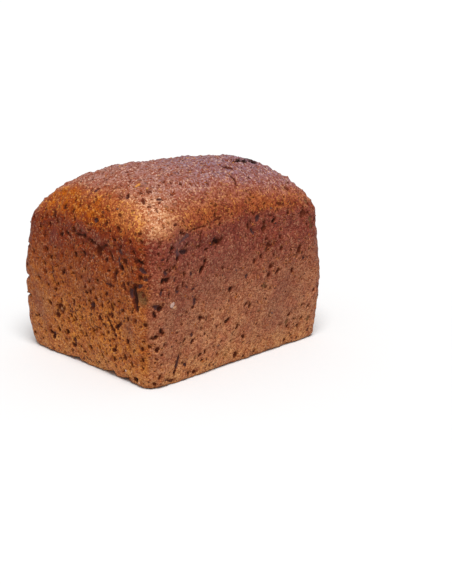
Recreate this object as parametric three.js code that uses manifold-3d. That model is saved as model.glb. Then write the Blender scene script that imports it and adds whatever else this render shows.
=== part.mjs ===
// A whole wholemeal rye loaf, baked in a short tin and turned out of it.
// The walls carry the tin's draft and rounded corners, and above the rim the dough has risen into
// a broad crown. The skin is rough: it has folds under the shoulder, gouges, blown pits and a torn
// crack on the crown, and the lower edge is chipped where the dough didn't fill the tin.
// Millimetres. X runs along the loaf, Y across it, Z up, and the origin is the centre of the base.
import * as THREE from "three";
import { mergeVertices } from "three/addons/utils/BufferGeometryUtils.js";
import Module from "manifold-3d";

const wasm = await Module();
wasm.setup();

// Driving dimensions.
const rimLength = 142;
const rimWidth = 118;
const rimHeight = 75;
const crownHeight = 112;
const wallDraft = 3.1; // a wall's lean from base to rim
const wallSwell = 2.3; // a wall's bow half way up
const rimCorner = 17; // radius of the upright corners at the rim
const baseCorner = 8;
const baseEdge = 5; // radius of the lower edge

// The crown: how square its two arches are, how sharply it leaves the rim, and how it leans.
const archAlong = 3.64;
const archAcross = 2.18;
const shoulderPower = 1 / 2.04;
const crownLeanAlong = -0.077;
const crownLeanAcross = -0.18;
const capShare = 0.93; // the part of the crown that the cap grid covers; rings cover the rest

// The grid of the skin.
const cellsAlong = 26;
const cellsAcross = 22;
const edgeRows = 3;
const wallRows = 9;
const shoulderRows = 5;

// Unevenness of the skin: the size of the lumps, and how far they stand out.
const lumps = [
  { size: 41, height: 1.1 },
  { size: 17, height: 0.6 },
  { size: 8, height: 0.35 },
];
const coreInset = 34; // the block inside the loaf that the skin faces away from
const coreTop = 68;

// The shoulder hangs over the walls: midway along each, the skin is tucked in on a wavy line.
const tuckHeight = 78;
const tuckWave = 2.5; // how far the line strays up and down, over the length below
const tuckWaveLength = 70;
const tuckDepth = 1.3;
const tuckSpread = 5;

// ---- The skin's form ----

// The footprint at a height: half its length and width, and the radius of its corners.
function footprintAt(z) {
  const rise = z / rimHeight;
  const lean = wallDraft * (1 - rise);
  const swell = wallSwell * Math.sin(Math.PI * rise);
  const below = Math.max(0, baseEdge - z);
  const tuck = baseEdge - Math.sqrt(baseEdge ** 2 - below ** 2);
  return {
    halfLength: rimLength / 2 - lean + swell - tuck,
    halfWidth: rimWidth / 2 - lean + swell - tuck,
    corner: baseCorner + (rimCorner - baseCorner) * rise - tuck / 2,
  };
}

// A point of the footprint, from u and v, which run from -1 to 1 along and across it.
function inFootprint(u, v, z) {
  const { halfLength, halfWidth, corner } = footprintAt(z);
  const straightX = halfLength - corner;
  const straightY = halfWidth - corner;
  const x = Math.abs(u) * halfLength;
  const y = Math.abs(v) * halfWidth;
  const dx = Math.max(0, x - straightX) / corner;
  const dy = Math.max(0, y - straightY) / corner;
  const roundX = dx > 0 ? straightX + corner * dx * Math.sqrt(1 - dy ** 2 / 2) : x;
  const roundY = dy > 0 ? straightY + corner * dy * Math.sqrt(1 - dx ** 2 / 2) : y;
  return new THREE.Vector3(Math.sign(u) * roundX, Math.sign(v) * roundY, z);
}

const onWall = (u, v, z) => inFootprint(u, v, z);

function onCrown(u, v) {
  const arches = (1 - Math.abs(u) ** archAlong) * (1 - Math.abs(v) ** archAcross);
  const lean = 1 + crownLeanAlong * u + crownLeanAcross * v;
  const point = inFootprint(u, v, rimHeight);
  point.z += (crownHeight - rimHeight) * Math.max(0, arches) ** shoulderPower * lean;
  return point;
}

// The way that the skin faces at a point, away from a block in the middle of the loaf.
function outward(p) {
  const reachX = rimLength / 2 - coreInset;
  const reachY = rimWidth / 2 - coreInset;
  const core = new THREE.Vector3(
    THREE.MathUtils.clamp(p.x, -reachX, reachX),
    THREE.MathUtils.clamp(p.y, -reachY, reachY),
    THREE.MathUtils.clamp(p.z, 0, coreTop),
  );
  return p.clone().sub(core).normalize();
}

// Smooth noise from 0 to 1, which changes over a distance of 1.
const hashTurns = new THREE.Vector3(127.1, 311.7, 74.7); // any large uneven numbers do
const hashStretch = 43758.5453;

function hash(i, j, k) {
  const wave = Math.sin(hashTurns.dot(new THREE.Vector3(i, j, k))) * hashStretch;
  return wave - Math.floor(wave);
}

function noise(x, y, z) {
  const [i, j, k] = [x, y, z].map(Math.floor);
  const [a, b, c] = [x - i, y - j, z - k].map((t) => t * t * (3 - 2 * t));
  const mix = THREE.MathUtils.lerp;
  const row = (dj, dk) => mix(hash(i, j + dj, k + dk), hash(i + 1, j + dj, k + dk), a);
  return mix(mix(row(0, 0), row(1, 0), b), mix(row(0, 1), row(1, 1), b), c);
}

function tuckAt(p, out) {
  const line = tuckHeight + tuckWave * Math.sin((2 * Math.PI * (p.x + p.y)) / tuckWaveLength);
  const midWall = (out.x ** 2 - out.y ** 2) ** 2; // 1 midway along a wall, 0 at a corner
  return tuckDepth * midWall * Math.exp(-(((p.z - line) / tuckSpread) ** 2));
}

function uneven(p) {
  const out = outward(p);
  let lift = -tuckAt(p, out);
  for (const { size, height } of lumps) {
    lift += height * (2 * noise(p.x / size, p.y / size, p.z / size) - 1);
  }
  return p.clone().addScaledVector(out, lift);
}

// ---- The closed grid: cap, rings down the shoulder, walls and a flat base ----

// The cells round the edge of the square from -1 to 1, in order, anticlockwise seen from above.
function edgeOfSquare() {
  const along = Array.from({ length: cellsAlong }, (_, i) => -1 + (2 * i) / cellsAlong);
  const across = Array.from({ length: cellsAcross }, (_, i) => -1 + (2 * i) / cellsAcross);
  return [
    ...along.map((u) => [u, -1]),
    ...across.map((v) => [1, v]),
    ...along.map((u) => [-u, 1]),
    ...across.map((v) => [-1, -v]),
  ];
}

function skinGeometry() {
  const points = [];
  const faces = [];
  const edge = edgeOfSquare();
  const around = edge.length;

  // Rings, from the base up over the shoulder.
  const rings = [];
  for (let i = 0; i < edgeRows; i++) {
    const z = baseEdge * (1 - Math.cos((Math.PI / 2) * (i / edgeRows)));
    rings.push(edge.map(([u, v]) => onWall(u, v, z)));
  }
  for (let i = 0; i < wallRows; i++) {
    const z = baseEdge + ((rimHeight - baseEdge) * i) / wallRows;
    rings.push(edge.map(([u, v]) => onWall(u, v, z)));
  }
  for (let i = 0; i < shoulderRows; i++) {
    const share = Math.sqrt(1 - (i / shoulderRows) ** 2 * (1 - capShare ** 2));
    rings.push(edge.map(([u, v]) => onCrown(u * share, v * share)));
  }
  rings.forEach((ring, row) => {
    for (const p of ring) points.push(row === 0 ? p : uneven(p));
  });
  for (let row = 0; row < rings.length - 1; row++) {
    for (let i = 0; i < around; i++) {
      const a = row * around + i;
      const b = row * around + ((i + 1) % around);
      faces.push(a, b, b + around, a, b + around, a + around);
    }
  }

  // The cap over the crown, stitched to the last ring.
  const cap = points.length;
  for (let j = 0; j <= cellsAcross; j++) {
    for (let i = 0; i <= cellsAlong; i++) {
      const u = capShare * (-1 + (2 * i) / cellsAlong);
      const v = capShare * (-1 + (2 * j) / cellsAcross);
      points.push(uneven(onCrown(u, v)));
    }
  }
  const capPoint = (i, j) => cap + j * (cellsAlong + 1) + i;
  for (let j = 0; j < cellsAcross; j++) {
    for (let i = 0; i < cellsAlong; i++) {
      const [a, b] = [capPoint(i, j), capPoint(i + 1, j)];
      const [c, d] = [capPoint(i + 1, j + 1), capPoint(i, j + 1)];
      faces.push(a, b, c, a, c, d);
    }
  }
  const toCell = (part, cells) => Math.round(((part + 1) / 2) * cells);
  const capBorder = edge.map(([u, v]) => capPoint(toCell(u, cellsAlong), toCell(v, cellsAcross)));
  const lastRing = (rings.length - 1) * around;
  for (let i = 0; i < around; i++) {
    const next = (i + 1) % around;
    faces.push(lastRing + i, lastRing + next, capBorder[next]);
    faces.push(lastRing + i, capBorder[next], capBorder[i]);
  }

  // The base, a flat fan.
  const middle = points.length;
  points.push(new THREE.Vector3(0, 0, 0));
  for (let i = 0; i < around; i++) faces.push(middle, (i + 1) % around, i);

  const geometry = new THREE.BufferGeometry().setFromPoints(points);
  geometry.setIndex(faces);
  return geometry;
}

// ---- Joining and cutting ----

const mergeWithin = 1e-3;

function solidOf(geometry) {
  geometry.deleteAttribute("normal");
  geometry.deleteAttribute("uv");
  const merged = mergeVertices(geometry, mergeWithin);
  return new wasm.Manifold(
    new wasm.Mesh({
      numProp: 3,
      vertProperties: merged.attributes.position.array,
      triVerts: new Uint32Array(merged.index.array),
    }),
  );
}

function geometryOf(solid) {
  const { vertProperties, triVerts, numProp } = solid.getMesh();
  const data = new THREE.InterleavedBuffer(vertProperties, numProp);
  const geometry = new THREE.BufferGeometry();
  geometry.setAttribute("position", new THREE.InterleavedBufferAttribute(data, 3, 0));
  geometry.setIndex(new THREE.BufferAttribute(triVerts, 1));
  return geometry;
}

// ---- Places on the skin ----
// Each face of the loaf has its own two coordinates, in millimetres: along the wall and up it, or
// along and across the crown.

const faces = {
  leftEnd: (y, z) => onWall(-1, y / footprintAt(z).halfWidth, z),
  rightEnd: (y, z) => onWall(1, y / footprintAt(z).halfWidth, z),
  frontSide: (x, z) => onWall(x / footprintAt(z).halfLength, -1, z),
  backSide: (x, z) => onWall(x / footprintAt(z).halfLength, 1, z),
  crown: (x, y) => onCrown(x / (rimLength / 2), y / (rimWidth / 2)),
};

const halvings = 20;

// The place on a wall, or above the rim the place on the shoulder that is as high as asked for.
function placeOn(face, a, b) {
  if (face === "crown" || b <= rimHeight) return uneven(faces[face](a, b));
  const onEnd = face.endsWith("End");
  const side = face === "leftEnd" || face === "frontSide" ? -1 : 1;
  const shoulderAt = (share) =>
    onEnd ? onCrown(side * share, (2 * a) / rimWidth) : onCrown((2 * a) / rimLength, side * share);
  let tooHigh = 0;
  let tooLow = 1;
  for (let i = 0; i < halvings; i++) {
    const share = (tooHigh + tooLow) / 2;
    if (shoulderAt(share).z > b) tooHigh = share;
    else tooLow = share;
  }
  return uneven(shoulderAt(tooLow));
}

// ---- Gouges and pits ----

// A stone-shaped cutter sunk in the skin. width runs along the wall, height up it, and the lean
// turns it clockwise as seen from outside.
function pit({ face, at, width, height, depth, lean = 0, facets = 1 }) {
  const seat = placeOn(face, ...at);
  const out = outward(seat);
  const up = face === "crown" ? new THREE.Vector3(0, 1, 0) : new THREE.Vector3(0, 0, 1);
  const side = up.clone().cross(out).normalize();
  up.copy(out).cross(side);
  const cutter = new THREE.IcosahedronGeometry(1, facets);
  cutter.scale(width / 2, height / 2, depth);
  cutter.rotateZ(THREE.MathUtils.degToRad(-lean));
  cutter.applyMatrix4(new THREE.Matrix4().makeBasis(side, up, out));
  cutter.translate(seat.x, seat.y, seat.z);
  return solidOf(cutter);
}

const gouges = [
  // The left end: a long gouge by the corner, cut deeper along its inner edge, and an oval dimple.
  { face: "leftEnd", at: [-54, 53], width: 6.5, height: 12, depth: 1.8, lean: -8 },
  { face: "leftEnd", at: [-50.8, 53], width: 2.2, height: 13.5, depth: 3.2, lean: -9 },
  { face: "leftEnd", at: [20, 30.4], width: 4.4, height: 9.5, depth: 1.7, lean: 24 },
  { face: "leftEnd", at: [50, 43], width: 5, height: 3.4, depth: 2.6 },
  { face: "leftEnd", at: [-35, 68.4], width: 2.8, height: 6, depth: 2, lean: -14 },
  { face: "leftEnd", at: [-38, 77.4], width: 3, height: 4.6, depth: 1.8 },
  { face: "leftEnd", at: [-61, 71.4], width: 3.6, height: 3.4, depth: 1.7 },
  { face: "leftEnd", at: [-58, 60.8], width: 4, height: 3.6, depth: 1.2 },
  { face: "leftEnd", at: [-25, 59.4], width: 3, height: 4.4, depth: 2 },
  { face: "leftEnd", at: [-12, 42], width: 3, height: 4.4, depth: 2.2 },
  { face: "leftEnd", at: [-29, 29], width: 2.4, height: 8, depth: 2.2, lean: 8 },
  { face: "leftEnd", at: [14, 18], width: 3, height: 3.2, depth: 2.1 },
  { face: "leftEnd", at: [28, 13], width: 2.6, height: 6, depth: 1.9, lean: 18 },
  { face: "leftEnd", at: [8, 14], width: 2.2, height: 6, depth: 1.9, lean: -8 },
  { face: "leftEnd", at: [-17, 73.4], width: 4.6, height: 4.6, depth: 2.4 },
  // The front: a dimple and pits under the shoulder, a slanting pit, and a long groove low down.
  { face: "frontSide", at: [-46.2, 77], width: 6.4, height: 4.6, depth: 2.2, lean: 10 },
  { face: "frontSide", at: [-32, 64.8], width: 2.6, height: 7, depth: 2.2, lean: 38 },
  { face: "frontSide", at: [-61.7, 64.6], width: 4.8, height: 4.4, depth: 2.8 },
  { face: "frontSide", at: [-68.3, 49.5], width: 5.4, height: 3.4, depth: 2.6 },
  { face: "frontSide", at: [-38.5, 45.7], width: 2.8, height: 6, depth: 1.4 },
  { face: "frontSide", at: [-51.5, 12.4], width: 2.4, height: 11, depth: 1.7, lean: 18 },
  { face: "frontSide", at: [-45, 10.9], width: 3.8, height: 3.8, depth: 1.9 },
  { face: "frontSide", at: [-40, 26.3], width: 2.6, height: 5, depth: 1.7, lean: 12 },
  // The crown: a few blown holes, and the torn wedges beside the crack.
  { face: "crown", at: [-48, -52], width: 2.8, height: 2.6, depth: 2.8 },
  { face: "crown", at: [-60, -1], width: 2.6, height: 3.6, depth: 1.4 },
  { face: "crown", at: [-57, -28], width: 3, height: 3.8, depth: 1.8 },
  { face: "crown", at: [-47, -43], width: 4.6, height: 2.6, depth: 1.4 },
  { face: "crown", at: [15.8, -29.8], width: 6.6, height: 3, depth: 1.8, lean: -24 },
  { face: "crown", at: [9, -40.7], width: 7, height: 3, depth: 1.8, lean: 30 },
];

// Chips along the lower edge, where the dough didn't reach into the tin's corner.
const chips = [
  { face: "leftEnd", at: [7, 0.5], width: 7, height: 3.4, depth: 3 },
  { face: "leftEnd", at: [-25, 0.5], width: 9, height: 4, depth: 3 },
  { face: "leftEnd", at: [-46, 1], width: 5, height: 4.6, depth: 3.4 },
  { face: "leftEnd", at: [39, 0.5], width: 6, height: 4, depth: 3 },
  { face: "frontSide", at: [-26, 0.5], width: 7, height: 3, depth: 2.6 },
  { face: "frontSide", at: [31, 0.5], width: 9, height: 3.6, depth: 3 },
  { face: "rightEnd", at: [-18, 0.5], width: 8, height: 3.6, depth: 3 },
  { face: "rightEnd", at: [34, 0.5], width: 6, height: 3, depth: 2.8 },
  { face: "backSide", at: [-44, 0.5], width: 8, height: 3.6, depth: 3 },
  { face: "backSide", at: [12, 0.5], width: 6, height: 3, depth: 2.6 },
];

// Blown pits, scattered over the whole skin but the base. They stand upright on the walls, where
// the rising dough dragged on the tin.
const pitSeed = 7;
const pitCounts = { leftEnd: 20, rightEnd: 13, frontSide: 14, backSide: 13, crown: 10 };
const smallestPit = 2.1;
const largestPit = 3.3;
const tallestPit = 1.9; // times its width, on a wall
const pitDepth = 0.55; // times its width
const pitLean = 30; // degrees either way
const lowestPit = 8;

// The same run of numbers from 0 to 1 for the same seed.
function seeded(seed) {
  const randomStep = 1664525;
  const randomShift = 1013904223;
  const randomRange = 2 ** 32;
  let state = seed;
  return () => {
    state = (state * randomStep + randomShift) % randomRange;
    return state / randomRange;
  };
}

function scatteredPits() {
  const random = seeded(pitSeed);
  const between = (low, high) => low + (high - low) * random();
  const pits = [];
  for (const [face, count] of Object.entries(pitCounts)) {
    const reach = (face.endsWith("End") ? rimWidth : rimLength) / 2 - rimCorner / 2;
    const crownReach = rimWidth / 2 - rimCorner;
    for (let i = 0; i < count; i++) {
      const width = smallestPit + (largestPit - smallestPit) * random() ** 2;
      const onCrown = face === "crown";
      pits.push({
        face,
        at: [
          between(-reach, reach),
          onCrown ? between(-crownReach, crownReach) : between(lowestPit, rimHeight),
        ],
        width,
        height: width * (onCrown ? 1 : between(1, tallestPit)),
        depth: pitDepth * width,
        lean: between(-pitLean, pitLean),
        facets: 0,
      });
    }
  }
  return pits;
}

// ---- Folds and the crown's crack: a four-sided cutter drawn along a line on the skin ----

const folds = [
  // Under the left end's shoulder, dipping to a point where the skin was nipped.
  {
    face: "leftEnd",
    path: [[20, 77.6], [11, 78], [-8, 78.7], [-14, 77], [-17, 73.4], [-23, 76.7], [-34, 82]],
    halfWidth: 1.2,
    depth: 1.8,
  },
  // Curving up on to the front's shoulder.
  {
    face: "frontSide",
    path: [[-56, 76], [-53, 81], [-46, 86], [-29, 89.5], [-16, 88.6]],
    halfWidth: 1,
    depth: 1.3,
  },
  {
    face: "rightEnd",
    path: [[-26, 80], [-12, 77.6], [4, 79.4], [18, 77.5]],
    halfWidth: 1.1,
    depth: 1.5,
  },
  {
    face: "backSide",
    path: [[-38, 80], [-22, 78], [-4, 80], [12, 78.4]],
    halfWidth: 1.1,
    depth: 1.4,
  },
  // The crack, torn open near the far end of the crown.
  {
    face: "crown",
    path: [[17, -22], [24, -24.5], [30, -23], [36, -26], [43, -29.2]],
    halfWidth: 1.4,
    depth: 2.6,
  },
];
const foldSteps = 14;
const foldEnds = 0.25; // how much of its section a fold keeps at its ends

function groove({ face, path, halfWidth, depth }) {
  const seats = path.map(([a, b]) => placeOn(face, a, b));
  const curve = new THREE.CatmullRomCurve3(seats, false, "centripetal");
  const points = [];
  for (let i = 0; i <= foldSteps; i++) {
    const t = i / foldSteps;
    const centre = curve.getPoint(t);
    const out = outward(centre);
    const across = curve.getTangent(t).cross(out).normalize();
    const section = foldEnds + (1 - foldEnds) * Math.sqrt(Math.sin(Math.PI * t));
    points.push(
      centre.clone().addScaledVector(out, depth * section),
      centre.clone().addScaledVector(across, halfWidth * section),
      centre.clone().addScaledVector(out, -depth * section),
      centre.clone().addScaledVector(across, -halfWidth * section),
    );
  }
  const sides = 4;
  const triangles = [0, 2, 1, 0, 3, 2];
  for (let i = 0; i < foldSteps; i++) {
    for (let j = 0; j < sides; j++) {
      const a = i * sides + j;
      const b = i * sides + ((j + 1) % sides);
      triangles.push(a, b, b + sides, a, b + sides, a + sides);
    }
  }
  const end = foldSteps * sides;
  triangles.push(end, end + 1, end + 2, end, end + 2, end + 3);
  const geometry = new THREE.BufferGeometry().setFromPoints(points);
  geometry.setIndex(triangles);
  return solidOf(geometry);
}

// ---- The loaf ----

const simplifyWithin = 0.06; // the fine slivers left by the cuts are closed up

function loafGeometry() {
  const pits = [...gouges, ...chips, ...scatteredPits()].map(pit);
  const cutters = [...pits, ...folds.map(groove)];
  const cut = solidOf(skinGeometry()).subtract(wasm.Manifold.union(cutters));
  const [whole] = cut.decompose().sort((a, b) => b.volume() - a.volume());
  return geometryOf(whole.simplify(simplifyWithin));
}

const crust = new THREE.MeshStandardMaterial({ color: 0x9a5a38, roughness: 0.75, metalness: 0 });
const loaf = new THREE.Mesh(loafGeometry(), crust);
loaf.name = "loaf";

// The lumps make the skin's extent a little lopsided, so the loaf is centred over the origin.
loaf.geometry.computeBoundingBox();
const middle = loaf.geometry.boundingBox.getCenter(new THREE.Vector3());
loaf.position.set(-middle.x, -middle.y, 0);

const group = new THREE.Group();
group.add(loaf);

export default group;
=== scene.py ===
"""A wholemeal rye tin loaf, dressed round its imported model: crust, bran, hulls and a pale stage."""

import math

import bpy
import numpy as np
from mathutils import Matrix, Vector, kdtree


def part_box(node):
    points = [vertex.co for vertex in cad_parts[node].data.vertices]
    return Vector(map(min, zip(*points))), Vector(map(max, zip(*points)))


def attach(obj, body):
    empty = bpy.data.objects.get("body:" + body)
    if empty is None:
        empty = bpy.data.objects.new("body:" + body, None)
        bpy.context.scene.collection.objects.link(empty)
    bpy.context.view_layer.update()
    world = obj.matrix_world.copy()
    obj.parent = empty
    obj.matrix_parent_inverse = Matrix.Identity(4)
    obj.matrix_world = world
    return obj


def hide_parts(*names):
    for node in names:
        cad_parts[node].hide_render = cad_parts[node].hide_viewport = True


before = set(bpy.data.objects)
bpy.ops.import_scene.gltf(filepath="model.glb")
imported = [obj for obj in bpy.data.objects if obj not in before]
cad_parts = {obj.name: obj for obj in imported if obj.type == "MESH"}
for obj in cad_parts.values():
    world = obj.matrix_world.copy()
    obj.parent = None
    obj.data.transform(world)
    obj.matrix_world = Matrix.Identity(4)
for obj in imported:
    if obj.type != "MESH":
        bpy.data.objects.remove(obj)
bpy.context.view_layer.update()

# ---- The loaf ----
# Stiff wholemeal rye dough, baked in a short tin with drafted walls. Up to the tin's rim it has
# the tin's flat walls and round corners, and above the rim it has risen into a broad crown.
# Its skin is worked out in millimetres, as a cap, rings down the shoulder and walls, and a base.

MILLIMETRE = 0.001
rim_length, rim_width, rim_height = 142, 118, 75
crown_height = 112
wall_draft, wall_swell = 3.1, 2.3
rim_corner, base_corner, base_edge = 17, 8, 3
arch_along, arch_across, shoulder_power = 3.64, 2.18, 1 / 2.04
crown_lean_along, crown_lean_across = -0.077, -0.18
cap_share = 0.93

cells_along, cells_across = 176, 148
base_rings, edge_rows, wall_rows, shoulder_rows = 4, 6, 75, 20


def in_footprint(u, v, z):
    """The skin's place at a height, for u and v from -1 to 1 along and across the footprint."""
    rise = z / rim_height
    below = np.maximum(0, base_edge - z)
    rounding = base_edge - np.sqrt(base_edge**2 - below**2)
    spread = wall_swell * np.sin(np.pi * rise) - wall_draft * (1 - rise) - rounding
    corner = base_corner + (rim_corner - base_corner) * rise - rounding / 2
    half_length = rim_length / 2 + spread
    half_width = rim_width / 2 + spread
    x, y = np.abs(u) * half_length, np.abs(v) * half_width
    into_x = np.maximum(0, x - (half_length - corner)) / corner
    into_y = np.maximum(0, y - (half_width - corner)) / corner
    x = np.where(into_x > 0, half_length - corner + corner * into_x * np.sqrt(1 - into_y**2 / 2), x)
    y = np.where(into_y > 0, half_width - corner + corner * into_y * np.sqrt(1 - into_x**2 / 2), y)
    return np.stack([np.sign(u) * x, np.sign(v) * y, z + 0 * u], axis=-1)


def on_crown(u, v):
    """The skin's place above the rim, where it arches both ways, higher to the front and left."""
    arches = (1 - np.abs(u) ** arch_along) * (1 - np.abs(v) ** arch_across)
    lean = 1 + crown_lean_along * u + crown_lean_across * v
    place = in_footprint(u, v, rim_height + 0 * u)
    place[..., 2] += (crown_height - rim_height) * np.maximum(0, arches) ** shoulder_power * lean
    return place


# The cap's border, cell by cell and anticlockwise seen from above, is the plan of every ring.
along, across = np.arange(cells_along), np.arange(cells_across)
border_i = np.concatenate([along, 0 * across + cells_along, cells_along - along, 0 * across])
border_j = np.concatenate([0 * along, across, 0 * along + cells_across, cells_across - across])
border_u, border_v = 2 * border_i / cells_along - 1, 2 * border_j / cells_across - 1
around = len(border_u)

rings = []
for step in range(1, base_rings):
    rings.append(in_footprint(border_u, border_v, 0 * border_u) * (step / base_rings))
for step in range(edge_rows):
    height = base_edge * (1 - math.cos(math.pi / 2 * step / edge_rows))
    rings.append(in_footprint(border_u, border_v, height + 0 * border_u))
for step in range(wall_rows):
    height = base_edge + (rim_height - base_edge) * step / wall_rows
    rings.append(in_footprint(border_u, border_v, height + 0 * border_u))
for step in range(shoulder_rows):
    share = math.sqrt(1 - (step / shoulder_rows) ** 2 * (1 - cap_share**2))
    rings.append(on_crown(border_u * share, border_v * share))
cap_v, cap_u = np.meshgrid(
    cap_share * np.linspace(-1, 1, cells_across + 1),
    cap_share * np.linspace(-1, 1, cells_along + 1),
    indexing="ij",
)
cap = on_crown(cap_u, cap_v).reshape(-1, 3)
skin = np.concatenate([*rings, cap, [[0, 0, 0]]])
first_above_base, base_centre = base_rings * around, len(skin) - 1

cap_start = len(rings) * around
row_up = cells_along + 1
border = cap_start + border_j * row_up + border_i
column = np.arange(around)
after = (column + 1) % around
quads = []
for ring in range(len(rings) - 1):
    low, high = ring * around, (ring + 1) * around
    quads.append(np.stack([low + column, low + after, high + after, high + column], axis=1))
last = (len(rings) - 1) * around
quads.append(np.stack([last + column, last + after, border[after], border], axis=1))
cap_j, cap_i = np.mgrid[0:cells_across, 0:cells_along]
cell = (cap_start + cap_j * row_up + cap_i).ravel()
quads.append(np.stack([cell, cell + 1, cell + row_up + 1, cell + row_up], axis=1))
base_fan = np.stack([0 * column + base_centre, after, column], axis=1)

crust_mesh = bpy.data.meshes.new("loaf_crust")
crust_mesh.from_pydata(skin, [], np.concatenate(quads).tolist() + base_fan.tolist())


def normals_of(points):
    """The directions in which the skin faces at its points."""
    crust_mesh.vertices.foreach_set("co", np.asarray(points, np.float32).ravel())
    crust_mesh.update()
    directions = np.empty(3 * len(points), np.float32)
    crust_mesh.vertices.foreach_get("normal", directions)
    return directions.reshape(-1, 3).astype(float)


scramble, scramble_scale = (127.1, 311.7, 74.7), 43758.5453


def noise(points, size):
    """Smooth noise from -1 to 1, which changes over a distance of size."""
    corner_of_cell = np.floor(points / size)
    part = points / size - corner_of_cell
    part = part * part * (3 - 2 * part)
    total = 0
    for corner in np.ndindex(2, 2, 2):
        wave = np.sin((corner_of_cell + corner) @ scramble) * scramble_scale
        share = np.prod(np.where(corner, part, 1 - part), axis=1)
        total = total + share * (wave - np.floor(wave))
    return 2 * total - 1


def smooth(value, low, high):
    """0 below low, 1 above high, and a smooth rise between them."""
    part = np.clip((value - low) / (high - low), 0, 1)
    return part * part * (3 - 2 * part)


# The dough's broad lumps, and the tuck where the shoulder hangs over the walls.
lumps = ((41, 1.1), (17, 0.6), (8, 0.35))
core_inset, core_top = 34, 68
tuck_height, tuck_wave, tuck_wave_length = 78, 2.5, 70
tuck_depth, tuck_spread = 1.3, 5
crown_facing = (0.45, 0.85)

reach = np.array([rim_length / 2 - core_inset, rim_width / 2 - core_inset])
core = np.column_stack([np.clip(skin[:, :2], -reach, reach), np.clip(skin[:, 2], 0, core_top)])
outward = skin - core
outward /= np.maximum(np.linalg.norm(outward, axis=1, keepdims=True), 1e-9)
tuck_line = np.sin(2 * np.pi * (skin[:, 0] + skin[:, 1]) / tuck_wave_length)
tuck_line = tuck_height + tuck_wave * tuck_line
mid_wall = (outward[:, 0] ** 2 - outward[:, 1] ** 2) ** 2
lift = -tuck_depth * mid_wall * np.exp(-(((skin[:, 2] - tuck_line) / tuck_spread) ** 2))
for size, height in lumps:
    lift += height * noise(skin, size)
above_base = skin[:, 2] > 0
skin += outward * (lift * above_base)[:, None]
facing = normals_of(skin)
on_top = smooth(facing[:, 2], *crown_facing)

# Patches where the dough lay tight against the tin, and baked smooth with a dull purple bloom.
left, right, front, back = -72, 72, -60, 60
smooth_patches = (
    ((left, 38, 29), 14, 1), ((left, -45, 34), 9, 0.8), ((left, -6, 53), 11, 0.45),
    ((left, 24, 74), 4, 0.8), ((left, -17, 78), 4, 1), ((left, -3, 82), 4, 0.9),
    ((left, -45, 54), 3, 1), ((left, -33, 71), 3, 0.6), ((-50, front, 40), 18, 0.6),
    ((-46, front, 80), 9, 1), ((-20, front, 58), 22, 0.6), ((30, front, 30), 24, 0.7),
    ((right, -20, 40), 20, 0.8), ((right, 34, 22), 14, 0.6), ((20, back, 48), 22, 0.8),
    ((-40, back, 26), 18, 0.6),
)
bloom = 0 * on_top
for centre, radius, strength in smooth_patches:
    distance = np.linalg.norm(skin - centre, axis=1) / radius
    bloom = np.maximum(bloom, strength * np.exp(-(distance**2)))
bloom = np.clip(bloom + 0.3 * bloom * noise(skin, 6) + 0.12 * noise(skin, 11), 0, 1)

# The wholemeal's grain stands in relief all over, less in the smooth patches, more on the crown.
grain = ((5.5, 0.3), (3.1, 0.28), (1.9, 0.32))
lost_in_bloom, gained_on_top = 0.6, 1.2
relief = 0 * on_top
for size, height in grain:
    relief += height * noise(skin, size) * (1 - lost_in_bloom * bloom + gained_on_top * on_top)

# The crust is heaved up behind the crown's crack.
heave_place, heave_reach, heave_height = (38, -13, 108), 12, 1.8
distance = np.linalg.norm(skin - heave_place, axis=1) / heave_reach
relief += heave_height * np.exp(-(distance**2))

skin_finder = kdtree.KDTree(len(skin))
for index, point in enumerate(skin):
    skin_finder.insert(point, index)
skin_finder.balance()
hollow, crumb, glaze, char = 0 * on_top, 0 * on_top, 0 * on_top, 0 * on_top
seed = np.random.default_rng(18)

# What a hollow is like: how deep it is for its size, how dark, partly in its crust's own colour and
# partly as painted shade in the hollow, how much pale crumb it shows, and how much of the
# slate-coloured glaze that a blister's skin bakes to.
deep, ruddy_pit, glazed = (0.5, 1, 0, 0), (0.4, 0.5, 0, 0), (0.4, 0.5, 0, 1)
torn_open, murky, nicked = (0.2, 0.1, 1, 0), (0.4, 0.6, 0.5, 0.4), (0.35, 0.1, 0, 0)
least_depth, nearly_level = 0.2, 0.8
hollow_reach, hollow_half, hollow_rim = 0.8, 0.6, (0.5, 1.1)
oval_wobble, three_sided_wobble = 0.16, 0.1


def sink(place, width, height, lean, look):
    """Sinks a hollow with an uneven outline. A lean turns it clockwise, seen from outside."""
    share, dark, pale, slate = look
    depth = share * math.sqrt(width * height) + least_depth
    seat = skin_finder.find(place)[1]
    reach = hollow_reach * max(width, height)
    near = np.array([found[1] for found in skin_finder.find_range(skin[seat], reach)])
    upright = (0, 1, 0) if facing[seat, 2] > nearly_level else (0, 0, 1)
    sideways = np.cross(upright, facing[seat])
    sideways /= np.linalg.norm(sideways)
    side = (skin[near] - skin[seat]) @ sideways
    rise = (skin[near] - skin[seat]) @ np.cross(facing[seat], sideways)
    turn = math.radians(lean)
    across_hollow = (side * math.cos(turn) - rise * math.sin(turn)) / (hollow_half * width)
    up_hollow = (side * math.sin(turn) + rise * math.cos(turn)) / (hollow_half * height)
    angle = np.arctan2(up_hollow, across_hollow)
    waves = seed.uniform(0, 2 * math.pi, 2)
    edge = 1 + oval_wobble * np.sin(2 * angle + waves[0])
    edge = edge + three_sided_wobble * np.sin(3 * angle + waves[1])
    inside = 1 - smooth(np.hypot(across_hollow, up_hollow) / edge, *hollow_rim)
    relief[near] = np.minimum(relief[near], relief[near] * (1 - inside) - depth * inside)
    # The hollow's darkness is partly its own colour and partly painted shade.
    hollow[near] = np.maximum(hollow[near], dark * inside)
    crumb[near] = np.maximum(crumb[near] * (1 - inside), pale * inside)
    glaze[near] = np.maximum(glaze[near] * (1 - inside), slate * inside)


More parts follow.
